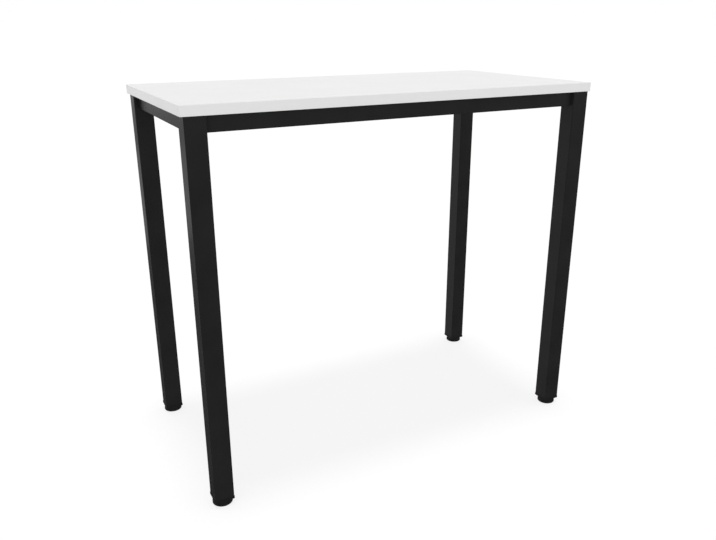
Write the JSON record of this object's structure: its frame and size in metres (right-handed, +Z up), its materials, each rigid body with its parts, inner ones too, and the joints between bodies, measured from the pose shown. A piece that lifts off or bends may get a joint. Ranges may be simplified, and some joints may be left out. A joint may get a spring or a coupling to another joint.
{
  "type": "standing meeting table",
  "caption": "Bar-height standing meeting table: rectangular white edge-banded top on a black square-tube steel frame with screw-adjusted round levelling feet.",
  "frame": {"origin": "on the floor, under the middle of the top", "axes": "+X along the table's length, +Y from the front to the rear, +Z up"},
  "size_m": [1.2, 0.6, 1.05],
  "materials": {
    "laminate": "white melamine-faced particle board, fine matt texture",
    "edging": "white plastic edge banding, satin",
    "powder_coat": "satin black powder coat on steel tube",
    "black_bolt": "black oxide steel",
    "zinc_steel": "bright zinc plate",
    "black_plastic": "moulded black plastic, fine texture",
    "pad_rubber": "dark grey rubber"
  },
  "bodies": {
    "table": {"top_board": "laminate", "edge_band_front": "edging", "edge_band_rear": "edging", "edge_band_left": "edging", "edge_band_right": "edging", "leg_front_left": "powder_coat", "leg_front_right": "powder_coat", "leg_rear_left": "powder_coat", "leg_rear_right": "powder_coat", "rail_front": "powder_coat", "rail_rear": "powder_coat", "rail_left": "powder_coat", "rail_right": "powder_coat", "spigot_front_left": "powder_coat", "spigot_front_right": "powder_coat", "spigot_rear_left": "powder_coat", "spigot_rear_right": "powder_coat", "rail_bolt_front_left_1": "black_bolt", "rail_bolt_front_left_2": "black_bolt", "rail_bolt_front_right_1": "black_bolt", "rail_bolt_front_right_2": "black_bolt", "rail_bolt_rear_left_1": "black_bolt", "rail_bolt_rear_left_2": "black_bolt", "rail_bolt_rear_right_1": "black_bolt", "rail_bolt_rear_right_2": "black_bolt", "top_screw_front_1": "zinc_steel", "top_screw_front_2": "zinc_steel", "top_screw_front_3": "zinc_steel", "top_screw_rear_1": "zinc_steel", "top_screw_rear_2": "zinc_steel", "top_screw_rear_3": "zinc_steel", "top_screw_left_1": "zinc_steel", "top_screw_left_2": "zinc_steel", "top_screw_right_1": "zinc_steel", "top_screw_right_2": "zinc_steel", "foot_plug_front_left": "black_plastic", "foot_plug_front_right": "black_plastic", "foot_plug_rear_left": "black_plastic", "foot_plug_rear_right": "black_plastic", "foot_nut_front_left": "zinc_steel", "foot_nut_front_right": "zinc_steel", "foot_nut_rear_left": "zinc_steel", "foot_nut_rear_right": "zinc_steel"},
    "foot_front_left_pad": {"foot_pad_front_left": "pad_rubber"},
    "foot_front_left_screw": {"foot_base_front_left": "black_plastic", "foot_stud_front_left": "zinc_steel"},
    "foot_front_right_pad": {"foot_pad_front_right": "pad_rubber"},
    "foot_front_right_screw": {"foot_base_front_right": "black_plastic", "foot_stud_front_right": "zinc_steel"},
    "foot_rear_left_pad": {"foot_pad_rear_left": "pad_rubber"},
    "foot_rear_left_screw": {"foot_base_rear_left": "black_plastic", "foot_stud_rear_left": "zinc_steel"},
    "foot_rear_right_pad": {"foot_pad_rear_right": "pad_rubber"},
    "foot_rear_right_screw": {"foot_base_rear_right": "black_plastic", "foot_stud_rear_right": "zinc_steel"}
  },
  "joints": [
    {"name": "foot_front_left_travel", "type": "slide", "parent": "table", "child": "foot_front_left_pad", "axis": [0, 0, -1], "range_m": [0, 0.02]},
    {"name": "foot_front_left_turn", "type": "hinge", "parent": "foot_front_left_pad", "child": "foot_front_left_screw", "pos_m": [-0.566, -0.273, 0], "axis": [0, 0, -1], "range_deg": [0, 4800]},
    {"name": "foot_front_right_travel", "type": "slide", "parent": "table", "child": "foot_front_right_pad", "axis": [0, 0, -1], "range_m": [0, 0.02]},
    {"name": "foot_front_right_turn", "type": "hinge", "parent": "foot_front_right_pad", "child": "foot_front_right_screw", "pos_m": [0.566, -0.273, 0], "axis": [0, 0, -1], "range_deg": [0, 4800]},
    {"name": "foot_rear_left_travel", "type": "slide", "parent": "table", "child": "foot_rear_left_pad", "axis": [0, 0, -1], "range_m": [0, 0.02]},
    {"name": "foot_rear_left_turn", "type": "hinge", "parent": "foot_rear_left_pad", "child": "foot_rear_left_screw", "pos_m": [-0.566, 0.273, 0], "axis": [0, 0, -1], "range_deg": [0, 4800]},
    {"name": "foot_rear_right_travel", "type": "slide", "parent": "table", "child": "foot_rear_right_pad", "axis": [0, 0, -1], "range_m": [0, 0.02]},
    {"name": "foot_rear_right_turn", "type": "hinge", "parent": "foot_rear_right_pad", "child": "foot_rear_right_screw", "pos_m": [0.566, 0.273, 0], "axis": [0, 0, -1], "range_deg": [0, 4800]}
  ],
  "couplings": [
    {"joint": "foot_front_left_travel", "follows": "foot_front_left_turn", "m_per_rad": 0.00023873},
    {"joint": "foot_front_right_travel", "follows": "foot_front_right_turn", "m_per_rad": 0.00023873},
    {"joint": "foot_rear_left_travel", "follows": "foot_rear_left_turn", "m_per_rad": 0.00023873},
    {"joint": "foot_rear_right_travel", "follows": "foot_rear_right_turn", "m_per_rad": 0.00023873}
  ]
}
